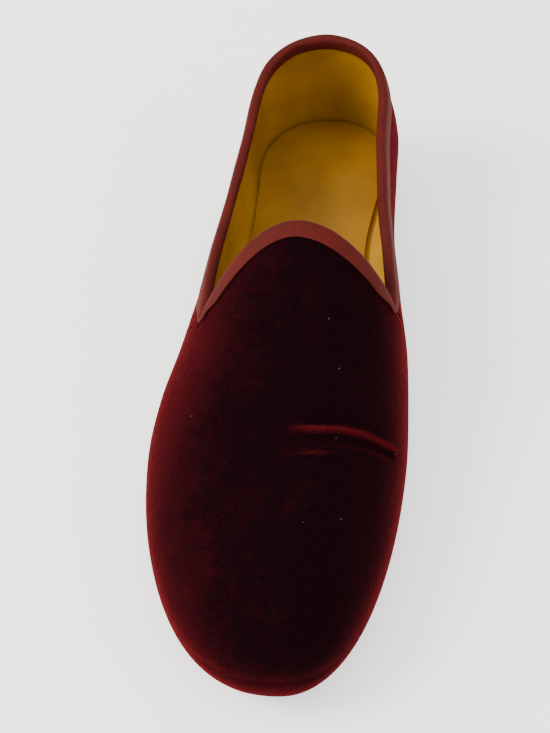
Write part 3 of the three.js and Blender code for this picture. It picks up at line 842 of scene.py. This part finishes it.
def ribbon_section(station, velvet_skin, lining_skin):
    """The ribbon's middle line across one station, from its outer hem to its inner hem."""
    point, normal, down = station["point"], station["normal"], station["down"]
    outside = NARROW_OUTSIDE + (WIDE_OUTSIDE - NARROW_OUTSIDE) * station["gather"]
    inside = NARROW_INSIDE + (WIDE_INSIDE - NARROW_INSIDE) * station["gather"]
    section = []
    for share, off in DOWN_OUTSIDE:
        spot, out, _, _ = velvet_skin.find_nearest(point + down * outside * share)
        section.append(spot + out * (off * MM))
    for drop, off in OVER_EDGE:
        section.append(point + down * drop * MM * station["squeeze"] + normal * off * MM)
    for share in DOWN_INSIDE:
        spot, out, _, _ = lining_skin.find_nearest(point - normal * WALL + down * inside * share)
        section.append(spot + out * OFF_CLOTH)
    return section


def binding_stations(velvet_skin):
    """All the ribbon's stations: round the collar, a notch, the tongue and the other notch."""
    collar_path, tongue_path = [resampled(run, STATION) for run in bound_edge()]
    collar = run_stations(collar_path, tongue_path, velvet_skin)
    tongue = run_stations(tongue_path, collar_path, velvet_skin)
    middle = tongue[len(tongue) // 2]
    probe = middle["point"] + middle["down"] * 4 * MM
    off_the_cloth = (velvet_skin.find_nearest(probe)[0] - probe).length > 1.5 * MM
    if off_the_cloth:
        for station in collar + tongue:
            station["down"].negate()
    for station in tongue:
        station["along"] += collar[-1]["along"] + TURN_LENGTH
    return [
        *collar, *turn_stations(collar[-1], tongue[0]),
        *tongue, *turn_stations(tongue[-1], collar[0]),
    ]


def lay_ribbon_map(mesh, stations, sections):
    """Unrolls the ribbon: cords along it, and millimetres across it from its outer hem."""
    size = len(sections[0])
    across = []
    for section in sections:
        widths = [0.0]
        for a, b in zip(section[:-1], section[1:]):
            widths.append(widths[-1] + (b - a).length)
        across.append(widths)
    runs_on = [station["along"] for station in stations] + [stations[-1]["along"] + 0.3 * MM]
    layer = mesh.uv_layers.new(name="ribbon")
    for face in mesh.polygons:
        i = face.index // (size - 1)
        for corner in face.loop_indices:
            section, point = divmod(mesh.loops[corner].vertex_index, size)
            station = i if section == i else i + 1
            layer.data[corner].uv = (runs_on[station] / CORD_PITCH, across[section][point] / MM)


def binding_piece(upper, grosgrain):
    """One ribbon that stands for both of the CAD's, so that it turns round the notches."""
    velvet_skin, lining_skin = skin_tree(upper, 0), skin_tree(upper, 1)
    stations = binding_stations(velvet_skin)
    sections = [ribbon_section(station, velvet_skin, lining_skin) for station in stations]
    count, size = len(sections), len(sections[0])
    faces = [
        (
            i * size + j, i * size + j + 1,
            (i + 1) % count * size + j + 1, (i + 1) % count * size + j,
        )
        for i in range(count) for j in range(size - 1)
    ]
    mesh = bpy.data.meshes.new("binding")
    mesh.from_pydata([list(point) for section in sections for point in section], [], faces)
    lay_ribbon_map(mesh, stations, sections)
    piece = bpy.data.objects.new("binding", mesh)
    bpy.context.scene.collection.objects.link(piece)
    only(piece)
    wall = piece.modifiers.new("ribbon_thickness", "SOLIDIFY")
    wall.thickness = RIBBON
    wall.offset = 0
    bpy.ops.object.modifier_apply(modifier=wall.name)
    smooth = piece.modifiers.new("smooth", "SUBSURF")
    smooth.levels = 1
    smooth.render_levels = 1
    bpy.ops.object.modifier_apply(modifier=smooth.name)
    bpy.ops.object.mode_set(mode="EDIT")
    bpy.ops.mesh.select_all(action="SELECT")
    bpy.ops.mesh.normals_make_consistent(inside=False)
    bpy.ops.object.mode_set(mode="OBJECT")
    bpy.ops.object.shade_smooth_by_angle(angle=math.radians(70))
    finish_piece(piece, ["tongue_ribbon", "collar_ribbon"], [grosgrain])


# Studio: each light's place, where it points, its sides in metres, its watts and its colour

LIGHTS = {
    "overhead": ((0.1, -0.1, 1.5), (0, 0, 0), (1.4, 1.4), 10, "#fffaf4"),
    "from_left": ((-1.1, -0.2, 1.1), (0, 0, 0.04), (0.7, 0.7), 34, "#fff4ea"),
    "from_right": ((1.2, -0.5, 0.7), (0, 0, 0.04), (0.9, 0.9), 5, "#fff4ea"),
}
ROOM_COLOUR = "#f2f2f4"
ROOM_STRENGTH = 1.25
FLOOR_SIDE = 8


def floor_piece():
    bpy.ops.object.select_all(action="DESELECT")
    bpy.ops.mesh.primitive_plane_add(size=FLOOR_SIDE, location=(0, 0, 0))
    floor = bpy.context.active_object
    floor.name = "studio_floor"
    floor.data.materials.append(floor_material())


def soft_light(name, where, aim, size, power, colour):
    data = bpy.data.lights.new(name, "AREA")
    data.shape = "RECTANGLE"
    data.size, data.size_y = size
    data.energy = power
    data.color = srgb(colour)[:3]
    light = bpy.data.objects.new(name, data)
    bpy.context.scene.collection.objects.link(light)
    light.location = where
    light.rotation_mode = "QUATERNION"
    light.rotation_quaternion = (Vector(aim) - Vector(where)).to_track_quat("-Z", "Y")


def studio():
    floor_piece()
    world = bpy.data.worlds.new("studio_room")
    world.use_nodes = True
    set_inputs(world.node_tree, world.node_tree.nodes["Background"], {
        "Color": srgb(ROOM_COLOUR), "Strength": ROOM_STRENGTH,
    })
    bpy.context.scene.world = world
    for name, light in LIGHTS.items():
        soft_light(name, *light)


def main():
    photo_camera()
    velvet = velvet_material()
    lining = lining_material("lining_calf", "#b08212", "#845e0a")
    sock = lining_material("sock_calf", "#9c700c", "#805808")
    grosgrain = ribbon_material()
    upper = upper_piece(velvet, lining)
    binding_piece(upper, grosgrain)
    stiff_pieces(sock)
    studio()


main()
